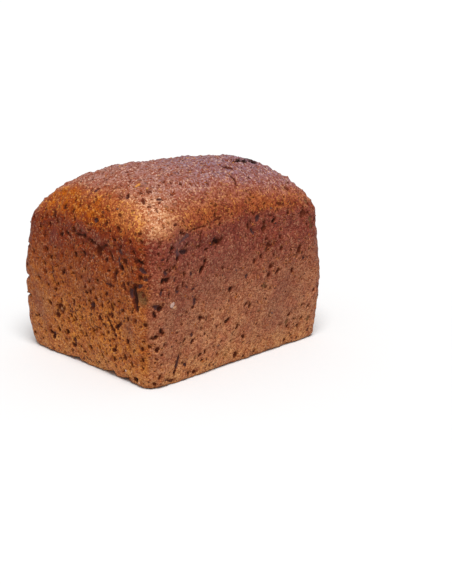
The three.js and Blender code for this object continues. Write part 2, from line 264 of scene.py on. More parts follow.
# The hollows that stand out. Each row gives where it lies across and up its face, or along and
# across the crown, its width and height, its lean in degrees, and its look. The first rows are
# the gouge on the left end, with a slit through it.
left_hollows = (
    (-52, 53, 7.5, 9, 0, torn_open), (-45, 55, 4.5, 7, 0, glazed), (-47, 56, 3.6, 7, 0, deep),
    (-47.5, 51, 4, 8, -6, deep), (-49, 47.5, 3, 4, -20, deep), (19.5, 31, 5.5, 7.5, 10, murky),
    (23, 25.5, 5, 3.5, 0, murky), (18, 29, 1.5, 3, 20, ruddy_pit), (-17, 73.5, 5, 5, 0, murky),
    (-17.5, 71.5, 2.4, 2.2, 0, deep), (-22.5, 76.5, 3, 2.2, 0, deep), (-30.5, 81.5, 2.4, 1.7, 0, deep),
    (-34.5, 78, 2, 2.6, 0, deep), (-33.5, 75.5, 3.8, 3, 0, glazed), (-33, 71, 2, 4, 0, glazed),
    (-38.5, 71.5, 4, 4, 0, murky), (-34.5, 68.5, 2.4, 3, 0, glazed), (-36, 67.5, 3.6, 3.6, 0, deep),
    (-27.5, 72, 1.8, 5, -36, deep), (-23, 69.5, 2.6, 2.6, 0, deep), (-25.5, 64, 2.2, 1.8, 0, deep),
    (-31.5, 62, 2, 7, -18, deep), (-10, 67, 2, 1.7, 0, deep), (-4.5, 69, 1.7, 4, -20, deep),
    (2.5, 67.5, 2.4, 3.4, -26, deep), (17, 76.5, 3.2, 3, 0, deep), (11, 78.5, 3.4, 2.4, 0, deep),
    (8, 77.5, 1.8, 1.6, 0, deep), (0, 79, 3, 1.7, 20, deep), (-5, 79, 3.6, 2.8, 20, deep),
    (-11, 77, 2.6, 2, 0, deep), (21, 82.5, 2, 3, 0, ruddy_pit), (26, 87, 4.5, 5, 0, murky),
    (17, 94.5, 2.6, 2.4, 0, deep), (37, 89.5, 2, 1.8, 0, deep), (-13.5, 91, 4, 2.6, 0, glazed),
    (-15, 90.5, 1.8, 1.8, 0, deep), (-10.5, 83.5, 1.8, 1.6, 0, deep), (-26, 86.5, 1.8, 1.6, 0, deep),
    (-52, 73.5, 5.4, 1.8, 30, deep), (-53.5, 69, 5.5, 2.8, 20, glazed), (-57, 64, 3, 2, 0, glazed),
    (-51.5, 59.5, 3.8, 2.8, 0, glazed), (-26, 55.5, 5, 2.2, 0, glazed), (-27.5, 56, 2, 2.6, 0, deep),
    (-39, 58.5, 2.4, 2, 0, deep), (-42.5, 60, 2.4, 2.2, 0, deep), (24, 50, 2.4, 8, -24, glazed),
    (14.5, 54, 2.3, 2.6, 0, deep), (7, 58.5, 2.4, 1.8, 0, ruddy_pit), (-7.5, 47, 2.2, 2, 0, deep),
    (-12, 40, 3.8, 4.4, -24, deep), (-10.5, 40, 1.8, 3, -24, glazed), (-29, 43.5, 1.9, 4, -14, deep),
    (-17.5, 34.5, 1.8, 3.4, -8, deep), (-24, 36.5, 2.4, 2.2, 0, ruddy_pit),
    (-28.5, 38.5, 2.8, 3.2, 0, ruddy_pit), (-27.5, 31.5, 2.8, 3.6, -10, deep),
    (-32.5, 32.5, 2.6, 3, -20, deep), (-30, 29.5, 2, 2.4, 0, deep), (-28, 29.5, 2, 2, 0, murky),
    (-30, 27, 3.4, 1.7, 0, deep), (-41, 25.5, 2.6, 3, -10, deep), (-28, 17, 3, 2.6, 0, deep),
    (-36, 14.5, 3.2, 3.6, -10, ruddy_pit), (9.5, 29, 2.2, 2.8, 0, ruddy_pit),
    (5.5, 27.5, 3, 2.4, 0, murky), (-10, 25.5, 2.4, 1.9, 0, deep), (15.5, 17, 2.8, 3.4, -20, deep),
    (28.5, 12.5, 2.6, 3, 0, glazed), (31, 13.5, 2, 2.8, 0, deep), (29.5, 10.5, 2.4, 3, 0, deep),
    (10, 12.5, 2.2, 5, -10, glazed), (11.5, 9, 3.4, 2.4, 0, deep),
)
front_hollows = (
    (-44, 76, 6, 3.2, 0, glazed), (-49, 73.5, 2.4, 3, 0, deep), (-52.5, 79.5, 2, 2.4, 0, deep),
    (-53.5, 77, 1.8, 3.4, 0, ruddy_pit), (-42, 79, 2.4, 2.2, 0, ruddy_pit),
    (-47.5, 94, 2.4, 1.8, 0, deep), (-45.5, 87.5, 3, 1.8, 0, deep), (-43.5, 86, 1.8, 1.4, 0, deep),
    (-61, 85, 2, 1.6, 0, ruddy_pit), (-63, 77, 1.6, 2.6, 0, ruddy_pit),
    (-60, 74.5, 2.6, 1.2, 0, glazed), (-32.5, 76.5, 1.6, 2.2, 0, deep), (-27, 74, 2, 1.6, 0, deep),
    (-52, 69, 2.8, 2, -20, murky), (-42, 68.5, 1.4, 2.2, 30, ruddy_pit),
    (-57.5, 68.5, 1.4, 1.2, 0, deep), (-55, 67, 2.4, 2, 0, ruddy_pit), (-58, 66, 2.6, 3, 0, glazed),
    (-60, 63, 2.8, 3, 0, deep), (-58, 62.5, 3, 2.6, -20, deep), (-56.5, 63.5, 1.6, 1.4, 0, deep),
    (-44.5, 63.5, 2.4, 2.8, 20, murky), (-52, 61.5, 1.6, 2.4, -30, glazed),
    (-61, 58, 1.6, 1.6, 0, deep), (-62, 56, 1.8, 3, 0, glazed), (-46.5, 58, 1.6, 3.2, -10, murky),
    (-43, 56, 2.2, 2, 0, glazed), (-56, 54, 1.8, 3.2, 10, ruddy_pit),
    (-39, 53.5, 2.2, 1.2, 0, glazed), (-42.5, 49.5, 1.4, 2, -20, ruddy_pit),
    (-64, 48.5, 6.5, 3.2, 0, glazed), (-63, 47.5, 3, 3, 0, deep), (-67, 44, 2, 3.6, -20, deep),
    (-51, 54.5, 2.8, 2.6, 0, glazed), (-50.5, 57, 2.4, 2, 0, murky), (-38, 46.5, 3, 4.4, 10, glazed),
    (-39, 43, 2.2, 1.8, 0, deep), (-33, 36, 3.4, 1.9, 0, deep), (-31.5, 64, 2.2, 6, 34, deep),
    (-29.5, 67, 2.2, 2.8, 0, deep), (-40, 62.5, 2.4, 2.4, 0, glazed), (-62.5, 35, 2, 3.6, 0, deep),
    (-66, 32, 2.6, 2, 0, deep), (-39.5, 26.5, 2, 3.2, 0, glazed), (-39.5, 23, 2, 2.2, 0, deep),
    (-33, 13.5, 2.6, 1.9, 0, deep), (-49.5, 12.5, 3.2, 8, 16, glazed), (-51, 7.5, 2.6, 2.4, 0, deep),
    (-43, 9.5, 3, 2.6, 0, glazed), (-57, 4, 2.2, 1.8, 0, glazed), (-45.5, 25, 1.7, 4, 26, ruddy_pit),
)
crown_hollows = (
    (15, -31, 5.4, 4.6, 40, deep), (10, -42, 2.4, 6, 4, deep), (-57, -26, 2.6, 3.6, 44, glazed),
    (-56, -26, 1.8, 2.2, 44, deep), (-47, -42, 3.8, 2.6, 44, glazed),
    (-48, -33, 3.2, 2.6, 44, ruddy_pit), (-47, -35, 1.8, 2.2, 44, ruddy_pit),
    (-52, -32, 2, 2.6, 44, ruddy_pit), (-55, -37, 2.6, 4, 30, ruddy_pit),
    (-54.5, -42, 2.4, 2.8, 44, ruddy_pit), (-60, -2, 2.2, 3, 44, glazed),
    (-50.5, 1, 2.2, 4, 44, ruddy_pit), (-51, -2, 1.8, 2.6, 44, glazed),
    (-47, -17, 1.8, 3, 44, ruddy_pit), (-35, -32, 2.4, 3.2, 44, ruddy_pit),
    (-28, -38, 1.8, 3.4, 20, ruddy_pit), (-38, -42, 2.2, 2.4, 44, ruddy_pit), (-12, 2, 2, 4, 44, deep),
)
for across_face, height_up, *shape in left_hollows:
    sink((left, across_face, height_up), *shape)
for across_face, height_up, *shape in front_hollows:
    sink((across_face, front, height_up), *shape)
pull_to_top = 9
for along_crown, across_crown, *shape in crown_hollows:
    off_place = np.hypot(skin[:, 0] - along_crown, skin[:, 1] - across_crown)
    sink(skin[np.argmin(off_place - pull_to_top * on_top)], *shape)

# Hollows of the same kinds on the rest of the loaf, where they fall by chance.
far_tries, far_edge, far_low, far_high = 300, -24, 4, 98
far_smallest, far_largest = 1.7, 4.2
far_looks = (deep, ruddy_pit, glazed, ruddy_pit, murky, torn_open)
for index in seed.integers(first_above_base, base_centre, far_tries):
    width, height = seed.uniform(far_smallest, far_largest), seed.uniform(far_smallest, far_largest)
    look = far_looks[seed.integers(len(far_looks))]
    lean = seed.uniform(-30, 30)
    out_of_the_way = skin[index, 0] > far_edge and far_low < skin[index, 2] < far_high
    if out_of_the_way and hollow[index] < 0.1:
        sink(skin[index], width, height, lean, look)

# A painted highlight: the near corner of the crown is painted pale where the lamp's light falls most.
highlight_patches = (((-57, -51, 93), 10, 1), ((-58, -44, 98), 11, 0.9), ((-62, -34, 98), 10, 0.5))
highlight_low, highlight_high = 80, 90
painted_highlight = 0 * on_top
for centre, radius, strength in highlight_patches:
    distance = np.linalg.norm(skin - centre, axis=1) / radius
    painted_highlight = np.maximum(painted_highlight, strength * np.exp(-(distance**2)))
painted_highlight *= smooth(skin[:, 2], highlight_low, highlight_high)

# Blown pits, scattered evenly. They are densest low on the left end, and fewer in the smooth
# patches, on the crown, on the long sides and under the painted highlight on the near corner.
pit_tries, pit_spacing, packed_spacing = 9000, 4.6, 3.4
smallest_pit, pit_spread, pit_depth, clear_of_base = 1.7, 1.2, 0.5, 1.5
dense_across, dense_up, dense_width, dense_height, dense_end = -14, 28, 36, 24, -60
side_facing = (0.5, 0.8)
off_dense = (((skin[:, 1] - dense_across) / dense_width) ** 2
             + ((skin[:, 2] - dense_up) / dense_height) ** 2)
dense = np.exp(-off_dense) * (skin[:, 0] < dense_end)
on_side = smooth(np.abs(facing[:, 1]), *side_facing)
crowding = 0.22 + 0.4 * dense - 0.3 * bloom + 0.2 * noise(skin, 15)
crowding -= 0.04 * on_top + 0.1 * on_side + 0.2 * painted_highlight
far_off = 1e6
centres = np.full((pit_tries, 3), far_off)
for count, index in enumerate(seed.integers(first_above_base, base_centre, pit_tries)):
    spacing = pit_spacing + (packed_spacing - pit_spacing) * dense[index]
    wanted = seed.random() < crowding[index]
    free = hollow[index] < 0.2 and skin[index, 2] > clear_of_base
    width = smallest_pit + pit_spread * seed.random() ** 2
    stretch = 0.9 + 0.5 * seed.random()
    # A pit's darkness is partly its own colour and partly painted shade in it.
    lean, dark = seed.uniform(-50, 10), seed.uniform(0.35, 0.7) - 0.1 * on_top[index]
    if wanted and free and np.linalg.norm(centres - skin[index], axis=1).min() > spacing:
        centres[count] = skin[index]
        sink(skin[index], width, width * stretch, lean, (pit_depth, dark, 0, 0))


# How a tear frays: how far its edge wanders, over which two distances, how it and its char fade
# out, and where its lip lies and ends, all but the distances in widths of the tear. Points that
# lie more than same_face off the torn surface are kept out of it.
fray, fray_sizes, tear_rim, burn_rim = 0.8, (2.2, 5), (0.3, 1.3), (0.6, 2.2)
lip_from_middle, lip_reach = 1.3, 4
same_face, keep_off = 5, 4


def tear(line, width, depth, lip, dark, burnt=0, slate=0):
    """Tears the skin along a line of places, with a lip on its upper side. Other faces are spared."""
    line = [skin[skin_finder.find(place)[1]] for place in line]
    nearest, above = np.full(len(skin), far_off), 0 * on_top
    for start, end in zip(line, line[1:]):
        run = end - start
        part = np.clip((skin - start) @ run / (run @ run), 0, 1)
        offset = skin - start - part[:, None] * run
        beyond = np.abs((offset * facing).sum(axis=1))
        offset -= (offset * facing).sum(axis=1)[:, None] * facing
        distance = np.linalg.norm(offset, axis=1) + keep_off * np.maximum(0, beyond - same_face)
        closer = distance < nearest
        upper_side = np.cross(run / np.linalg.norm(run), facing)
        upper_side *= np.sign(upper_side[:, 2] + 1e-9)[:, None]
        above[closer] = (offset * upper_side).sum(axis=1)[closer]
        nearest[closer] = distance[closer]
    ragged = nearest
    for size in fray_sizes:
        ragged = ragged + fray * width * noise(skin, size)
    inside = 1 - smooth(ragged / width, *tear_rim)
    off_lip = (above - lip_from_middle * width) / width
    edge = np.exp(-(off_lip**2)) * (nearest < lip_reach * width)
    relief[:] = np.minimum(relief, relief * (1 - inside) - depth * inside) + lip * edge
    # A tear's darkness is partly its own colour and partly painted shade in the crease; the char is its
    # own.
    hollow[:] = np.maximum(hollow, dark * inside)
    glaze[:] = np.maximum(glaze, slate * inside)
    char[:] = np.maximum(char, burnt * (1 - smooth(ragged / width, *burn_rim)))


# The folds under the shoulder, where the rising dough lapped over itself, and the charred crack.
tear([(left, 2, 79.5), (left, -5, 79), (left, -10, 77.5), (left, -14, 76.5)], 0.5, 1.5, 0.7, 0.85)
tear([(left, -19, 74), (left, -20.5, 76), (left, -23, 76.5)], 0.4, 1, 0.4, 0.7)
tear([(left, 39.5, 73.5), (left, 36, 75), (left, 33, 74.5), (left, 31, 72.5)], 0.4, 0.8, 0.3, 0.7)
tear([(-40.5, front, 84.5), (-43.5, front, 83), (-46.5, front, 82), (-48.5, front, 79),
      (-49, front, 75.5)], 2, 0.5, 0.3, 0.2, slate=0.95)
tear([(-40.5, front, 88.5), (-38.5, front, 87), (-35.5, front, 88), (-30, front, 88),
      (-26, front, 89), (-14, front, 91)], 0.5, 0.8, 0.3, 0.6)
tear([(-31, front, 85.5), (-32, front, 82), (-32, front, 77.5)], 0.4, 0.8, 0.2, 0.7)
tear([(right, -34, 80), (right, -25, 77), (right, -14, 78.5), (right, -4, 75.5)], 0.6, 1, 0.5, 0.6)
tear([(38, back, 80), (30, back, 77), (20, back, 78.5), (11, back, 75.5)], 0.6, 1, 0.5, 0.6)
tear([(20, -22, 112), (28, -23, 111), (33, -23.5, 110)], 0.9, 2.2, 1, 0.5)
tear([(32, -23.5, 110), (37, -24, 109), (43, -25, 107)], 1.2, 2.4, 1, 1, 0.75)

# The scorched lump at the end of the crack.
scorched_place, scorched_height, scorched_reach, char_reach = (42, -21, 108), 1.5, 3, 4
distance = np.linalg.norm(skin - scorched_place, axis=1)
relief += scorched_height * np.exp(-((distance / scorched_reach) ** 2))
char = np.maximum(char, np.exp(-((distance / char_reach) ** 2)))

# The left end's lower edge hangs in lobes. Each ends at a notch, up to which the edge is raised.
# Chips are missing along the edge, and from the arris of the far corner.
lobes = ((9, 15, 2.2), (-24, 13, 3.2), (-36, 11, 2.2))
notch_run, lobe_fade, lobe_end = 1.5, 4, (48, 64)
edge_chips = ((left, -44.5), (right, 22), (right, -31))
chip_up, chip_width, chip_height = 3.5, 3.6, 3.4
front_chip = ((-53, front, 1.5), 5, 3, 0, ruddy_pit)
far_corner, arris_nicks, nick_height = (-70, 54.5), ((32, 9), (43, 12), (62.5, 9)), 3
raised = 0 * on_top
for notch_at, stretch, notch_height in lobes:
    towards_notch = np.clip(1 - (skin[:, 1] - notch_at) / stretch, 0, 1) ** 1.5
    raised += notch_height * towards_notch * smooth(skin[:, 1], notch_at - notch_run, notch_at)
raised *= np.exp(-skin[:, 2] / lobe_fade) * smooth(-skin[:, 0], *lobe_end)
for end_face, across_face in edge_chips:
    sink((end_face, across_face, chip_up), chip_width, chip_height, 0, deep)
sink(*front_chip)
for height_up, width in arris_nicks:
    sink((*far_corner, height_up), width, nick_height, 0, nicked)

# Colour by place, in heights from the base and in how far the skin faces up or to a side. It is
# paler low down, with painted bounce light from the floor at its foot, redder on the arrises,
# golden on the shoulder, and has a painted lilac sheen on the crown.
bake_low, bake_high = 22, 78
bounce_low, bounce_high = 3, 18
golden_low, golden_high, shoulder_foot, shoulder_top = 81, 90, (0.1, 0.45), (0.7, 0.97)
sheen_from, sheen_to = -60, 20
arris_along, arris_across, arris_reach, arris_low, arris_high = 68, 56, 8, 66, 88
baked = smooth(skin[:, 2] + 5 * noise(skin, 17), bake_low, bake_high)
shoulder = smooth(facing[:, 2], *shoulder_foot) * (1 - smooth(facing[:, 2], *shoulder_top))
golden = shoulder * smooth(skin[:, 2] + 3 * noise(skin, 7), golden_low, golden_high)
golden *= (1 - 0.5 * smooth(np.abs(facing[:, 1]), 0.2, 0.6)) * (1 + 0.3 * noise(skin, 9))
# A painted sheen: the crown is painted lilac, more towards its right end, for the white walls'
# reflection on it.
painted_sheen = on_top * (0.4 + 0.6 * smooth(skin[:, 0], sheen_from, sheen_to))
off_arris = np.hypot(np.abs(skin[:, 0]) - arris_along, np.abs(skin[:, 1]) - arris_across)
arris = np.exp(-((off_arris / arris_reach) ** 2))
arris = arris * (1 - smooth(skin[:, 2], arris_low, arris_high)) * (0.7 + 0.3 * noise(skin, 6))
porous = np.clip(0.35 + 0.35 * noise(skin, 13) + 0.8 * dense - 0.5 * bloom, 0, 1)
# Painted bounce light: the foot of the walls is painted paler, for the light that the floor throws up
# onto it.
painted_bounce = 1 - smooth(skin[:, 2] + 3 * noise(skin, 9), bounce_low, bounce_high)
# The field pale carries the painted highlight on the near corner.
fields = {
    "baked": baked, "golden": golden, "bloom": bloom, "hollow": hollow, "dull": on_side,
    "crumb": crumb, "char": char, "crown": on_top, "painted_sheen": painted_sheen, "pale": painted_highlight,
    "porous": porous, "glaze": glaze, "arris": arris, "painted_bounce": painted_bounce,
}
for name, values in fields.items():
    layer = crust_mesh.attributes.new(name, "FLOAT", "POINT")
    layer.data.foreach_set("value", values.astype(np.float32))

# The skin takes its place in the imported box, flat where it stands, and at most a little past it.
proud_of_box = 1
low, high = np.array(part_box("loaf")) / MILLIMETRE
shift = (low + high) / 2 - (skin.min(axis=0) + skin.max(axis=0)) / 2
shift[2] = 0
placed = skin + facing * (relief * above_base)[:, None] + shift
placed[:, 2] = np.maximum(placed[:, 2], 0) + raised
placed = np.clip(placed, low - proud_of_box, high + proud_of_box)
crust_facing = normals_of(placed * MILLIMETRE)
crust_mesh.shade_smooth()


class Tone:
    """One output of a material's nodes. Arithmetic on it adds Math nodes."""

    def __init__(self, tree, socket=None):
        self.tree, self.socket = tree, socket

    def node(self, kind, settings=None, sockets=None, output=0):
        """Adds a node, sets it, fills or links its sockets, and returns one of its outputs."""
        made = self.tree.nodes.new(kind)
        for name, value in (settings or {}).items():
            setattr(made, name, value)
        for name, value in (sockets or {}).items():
            if isinstance(value, Tone):
                self.tree.links.new(value.socket, made.inputs[name])
            else:
                made.inputs[name].default_value = value
        return Tone(self.tree, made.outputs[output]) if made.outputs else None

    def maths(self, operation, first, second):
        """Two tones, or a tone and a number, put together by a Math node."""
        return self.node("ShaderNodeMath", {"operation": operation}, {0: first, 1: second})

    def __add__(self, other):
        return self.maths("ADD", self, other)

    def __sub__(self, other):
        return self.maths("SUBTRACT", self, other)

    def __rsub__(self, other):
        return self.maths("SUBTRACT", other, self)

    def __mul__(self, other):
        return self.maths("MULTIPLY", self, other)

    def __truediv__(self, other):
        return self.maths("DIVIDE", self, other)

    __radd__, __rmul__ = __add__, __mul__

    def rise(self, low, high):
        """0 below low, 1 above high, and a smooth rise between them."""
        return self.node("ShaderNodeMapRange", {"interpolation_type": "SMOOTHSTEP"},
                         {"Value": self, "From Min": low, "From Max": high})

    def lay(self, over, under, share, how="MIX"):
        """One colour laid over another, by a share from 0 to 1."""
        return self.node("ShaderNodeMix", {"data_type": "RGBA", "blend_type": how},
                         {0: share, 6: under, 7: over}, output=2)

    def field(self, name):
        """A value that the mesh carries at its points."""
        return self.node("ShaderNodeAttribute", {"attribute_name": name}, output=2)

    def places(self):
        """Where each point is on the loaf, in millimetres."""
        metres = self.node("ShaderNodeTexCoord", output=3)
        return self.node("ShaderNodeVectorMath", {"operation": "SCALE"},
                         {"Vector": metres, "Scale": 1 / MILLIMETRE})

    def grains(self, place, size, detail=2.0, rough=0.55):
        """Noise from 0 to 1 over a size in millimetres."""
        return self.node("ShaderNodeTexNoise", None, {
            "Vector": place, "Scale": 1 / size, "Detail": detail, "Roughness": rough})


def new_finish(name):
    """A material that has no nodes yet, and the handle that adds them."""
    material = bpy.data.materials.new(name)
    material.use_nodes = True
    material.node_tree.nodes.clear()
    return material, Tone(material.node_tree)


def colour(code):
    """A colour from its six-figure screen code."""
    parts = [int(code[at:at + 2], 16) / 255 for at in (0, 2, 4)]
    linear = [((part + 0.055) / 1.055) ** 2.4 for part in parts]
    return (*linear, 1)


def put_in_scene(name, mesh, finish):
    """An object in the scene, with a mesh and its finish."""
    mesh.materials.append(finish)
    piece = bpy.data.objects.new(name, mesh)
    bpy.context.scene.collection.objects.link(piece)
    return piece


crust, tone = new_finish("baked_crust")
lay = tone.lay
place = tone.places()
shake_by = (1.8, 1.8, 1.8)
shake = tone.node("ShaderNodeTexNoise", None, {"Vector": place, "Scale": 0.7, "Detail": 3}, output=1)
shaken = tone.node("ShaderNodeVectorMath", {"operation": "MULTIPLY_ADD"},
                   {0: shake, 1: shake_by, 2: place})


def pits(size, share, small, large):
    """Round pits in cells of a size in millimetres, and their rims. Most cells have a mere pore."""
    cells = {"Vector": shaken, "Scale": 1 / size}
    distance = tone.node("ShaderNodeTexVoronoi", None, cells)
    chance = tone.node("ShaderNodeTexVoronoi", None, cells, output=1)
    chance = tone.node("ShaderNodeSeparateColor", None, {"Color": chance}) + share
    radius = chance.rise(0.55, 0.95) * (large - small) + small
    distance = distance / radius
    return 1 - distance.rise(0.65, 1.05), distance.rise(0.85, 1.1) * (1 - distance.rise(1.1, 1.7))


baked, golden, bloom = tone.field("baked"), tone.field("golden"), tone.field("bloom")
hollow, crumb, char = tone.field("hollow"), tone.field("crumb"), tone.field("char")
# The field pale is the painted highlight on the near corner of the crown.
crown, pale, dull = tone.field("crown"), tone.field("pale"), tone.field("dull")
# The first field here is the painted lilac sheen on the crown.
painted_sheen, porous = tone.field("painted_sheen"), tone.field("porous")
# The last field here is the painted bounce light at the foot of the walls.
glaze, arris, painted_bounce = tone.field("glaze"), tone.field("arris"), tone.field("painted_bounce")
wide_cell, fine_cell, spot_cell = 3.3, 2.0, 2.7
wide_pits, wide_rims = pits(wide_cell, porous * 0.35 - 0.15, 0.05, 0.34)
fine_pits, fine_rims = pits(fine_cell, porous * 0.25 - 0.15, 0.05, 0.36)
spots = pits(spot_cell, crown * 0.15 - 0.15, 0.03, 0.38)[0]

# The meal shows as chips of differing tone, each a low dome, with flour and dust between them.
chip_size, flour_size, dust_size, patch_size, streak_size = 0.9, 2.0, 0.8, 7.0, 3.6
meal = {"Vector": place, "Scale": 1 / chip_size}
dome = 1 - tone.node("ShaderNodeTexVoronoi", None, meal)
chips = tone.node("ShaderNodeTexVoronoi", None, meal, output=1)
chip = tone.node("ShaderNodeSeparateColor", None, {"Color": chips})
odd_chip = tone.node("ShaderNodeSeparateColor", None, {"Color": chips}, output=1)
flour = tone.grains(place, flour_size, 3.0, 0.7)
dust = tone.grains(place, dust_size, 2.0, 0.7)
patches = tone.grains(place, patch_size, 4.0, 0.65)
streaks = tone.grains(shaken, streak_size, 3.0, 0.7)

# Crust colours, low and high on the ends and on the long sides, then by place and by mark. The
# sheen, highlight, glint, rim highlight and bounce colours are painted light, and the dark of
# hollows is partly painted shade.
low_end, high_end = colour("B4692A"), colour("782C08")
low_side, high_side = colour("A86A48"), colour("7C3A2A")
gold, warm, sheen_tone = colour("A24E02"), colour("AA6842"), colour("88646A")
plum, glint_cream, amber = colour("6A3C36"), colour("E8BEA6"), colour("D89244")
pit, char_and_shade_black, slate = colour("5C230E"), colour("28120E"), colour("503638")
tan, olive, highlight_tone, rim_highlight = colour("70502E"), colour("56361E"), colour("D69A6E"), colour("C47632")
scarlet, ember, wine, bounce_tone = colour("7C341A"), colour("7E3006"), colour("642624"), colour("BE7E4A")
shade, crown_shade = (0.6, 0.42, 0.34, 1), (0.72, 0.46, 0.32, 1)
shine, crown_shine = (1.3, 1.44, 1.54, 1), (1.2, 1.42, 1.66, 1)
reddish, yellowish = (0.9, 0.76, 0.74, 1), (1.1, 1.18, 1.12, 1)

# The colours are laid from the broadest down: places, with painted bounce light, sheen and
# highlight, mottle, pit rims with painted highlights, flecks with painted glints, pits and
# hollows darkened partly by painted shade, and char.
base = lay(lay(high_side, low_side, baked), lay(high_end, low_end, baked), dull)
# Painted bounce light: the foot of the walls is painted paler.
base = lay(bounce_tone, base, painted_bounce * 0.6)
base = lay(warm, base, crown)
# Painted sheen: the crown is painted lilac for the reflection of the white walls.
base = lay(sheen_tone, base, painted_sheen * (patches.rise(0.3, 0.7) * 0.4 + chip * 0.5 + 0.4))
base = lay(gold, base, golden * (patches.rise(0.2, 0.7) * 0.5 + 0.5))
base = lay(plum, base, bloom * 0.5)
# Painted highlight: the near corner of the crown is painted pale.
base = lay(highlight_tone, base, pale * 0.58)
base = lay(scarlet, base, arris * 0.4)
base = lay(lay(yellowish, reddish, patches.rise(0.35, 0.65)), base, 1.0, "MULTIPLY")
mottle = (flour * 0.05 + dust * 0.3 + chip * 0.65).rise(0.2, 0.8)
mottle = lay(lay(crown_shine, crown_shade, mottle), lay(shine, shade, mottle), crown)
base = lay(mottle, base, 0.85 + porous * 0.15 - bloom * 0.2, "MULTIPLY")
# Painted highlights on the raised rims round the pits.
base = lay(rim_highlight, base, (wide_rims + fine_rims * 0.6) * (0.2 + porous * 0.3) * (1 - crown * 0.6))
base = lay(ember, base, spots * crown * 0.8)
base = lay(wine, base, streaks.rise(0.56, 0.66) * (golden * 0.45 + crown * 0.4) * (1 - pale))
# Pale specks: the amber ones are grains of the meal, the cream ones are painted glints, most on the
# painted highlight, the shoulder and the crown.
specks_and_glints = (odd_chip + pale * 0.1).rise(0.86, 0.9) * (pale * 0.4 + golden * 0.3 + crown * 0.25 + 0.2)
amber_share = (golden * 1.2 + (1 - crown) * 0.5) * (1 - pale * 0.6)
base = lay(lay(amber, glint_cream, amber_share), base, specks_and_glints)
# Pits are darkened partly in their own colour and partly by painted shade in them.
base = lay(pit, base, wide_pits * (0.88 - crown * 0.4 - pale * 0.4))
base = lay(pit, base, fine_pits * (0.8 - crown * 0.2 - pale * 0.4))
base = lay(lay(tan, olive, (crumb + (flour - 0.5) * 0.8).rise(0.75, 1.05)), base, crumb * 0.75)
# Hollows are darkened partly in their own colour and partly by painted shade, near black where deepest.
sunk = hollow + (flour - 0.5) * 0.5
base = lay(pit, base, sunk.rise(0.2, 0.4) * 0.9)
base = lay(char_and_shade_black, base, sunk.rise(0.6, 0.9) * 0.8)
base = lay(slate, base, (glaze + (flour - 0.5) * 0.5 + (dust - 0.5) * 0.6).rise(0.4, 0.9) * 0.75)
base = lay(char_and_shade_black, base, (char + (flour - 0.5) * 0.6).rise(0.2, 0.7) * 0.95)

height = flour * 0.4 + dust * 0.6 + dome * 0.6 - wide_pits * 0.7 - fine_pits * 0.4 - spots * 0.5
bumps = tone.node("ShaderNodeBump", None, {"Strength": 1.0, "Distance": MILLIMETRE, "Height": height})
rough = 0.55 - bloom * 0.08 - crown * 0.06 + (flour - 0.5) * 0.2 + hollow * 0.2
crust_shine = 0.12
surface = tone.node("ShaderNodeBsdfPrincipled", None, {
    "Base Color": base, "Roughness": rough, "Normal": bumps, "Specular IOR Level": crust_shine})
tone.node("ShaderNodeOutputMaterial", None, {"Surface": surface})

loaf = put_in_scene("loaf_crust", crust_mesh, crust)
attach(loaf, "root")
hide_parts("loaf")

# ---- The bran ----
# Scales of wheat bran from the wholemeal, toasted straw and gold, with a few grains of dry flour.
# They were kneaded into the skin of the dough, and have baked fast, half sunk in the crust.

flake_sides = 8
flake_sunk, flake_rim, flake_proud = -0.7, 0.05, 0.32
inner_share, raggedness = 0.55, (0.78, 1.15)
lowest_flake = 2


def seats_on_crust(count, clear):
    """Points of the crust, picked by chance where it is whole, with no pit or char."""
    picked = seed.integers(first_above_base, base_centre, count)
    return picked[(placed[picked, 2] > lowest_flake) & clear[picked]]


def flakes(name, seats, lengths, widths, turns, tints):
    """Thin domed scales with ragged rims, joined in one mesh, each with a tint of its own."""
    normal = crust_facing[seats]
    sideways = np.cross(normal, (0.3, 0.2, 1))
    sideways /= np.linalg.norm(sideways, axis=1, keepdims=True)
    upwards = np.cross(normal, sideways)
    angle = 2 * np.pi * np.arange(flake_sides) / flake_sides
    ragged = seed.uniform(*raggedness, (len(seats), flake_sides))
    lengthwise = np.cos(angle) * ragged * lengths[:, None] / 2
    widthwise = np.sin(angle) * ragged * widths[:, None] / 2
    cosine, sine = np.cos(turns)[:, None], np.sin(turns)[:, None]
    outline_side = lengthwise * cosine - widthwise * sine
    outline_up = lengthwise * sine + widthwise * cosine
    outline = outline_side[..., None] * sideways[:, None] + outline_up[..., None] * upwards[:, None]
    centre, up = placed[seats][:, None], normal[:, None]
    blocks = [centre + flake_sunk * up, centre + flake_sunk * up + outline,
              centre + flake_rim * up + outline, centre + flake_proud * up + inner_share * outline,
              centre + flake_proud * up]
    points = np.concatenate(blocks, axis=1)
    each = points.shape[1]
    ring_starts = (1, 1 + flake_sides, 1 + 2 * flake_sides)
    steps_on = [(at, (at + 1) % flake_sides) for at in range(flake_sides)]
    pattern = [(0, 1 + on, 1 + at) for at, on in steps_on]
    for inner, outer in zip(ring_starts, ring_starts[1:]):
        pattern += [(inner + at, inner + on, outer + on, outer + at) for at, on in steps_on]
    pattern += [(ring_starts[-1] + at, ring_starts[-1] + on, each - 1) for at, on in steps_on]
    faces = [[corner + start for corner in face]
             for start in range(0, each * len(seats), each) for face in pattern]
    mesh = bpy.data.meshes.new(name)
    mesh.from_pydata((points.reshape(-1, 3) * MILLIMETRE).tolist(), [], faces)
    mesh.attributes.new("tint", "FLOAT", "POINT").data.foreach_set(
        "value", np.repeat(tints, each).astype(np.float32))
    mesh.shade_smooth()
    return mesh


# What all scales look like: a matt fibrous skin.
fibre_size, fibre_height, fibre_strength, flake_shine = 0.4, 0.3, 0.6, 0.2


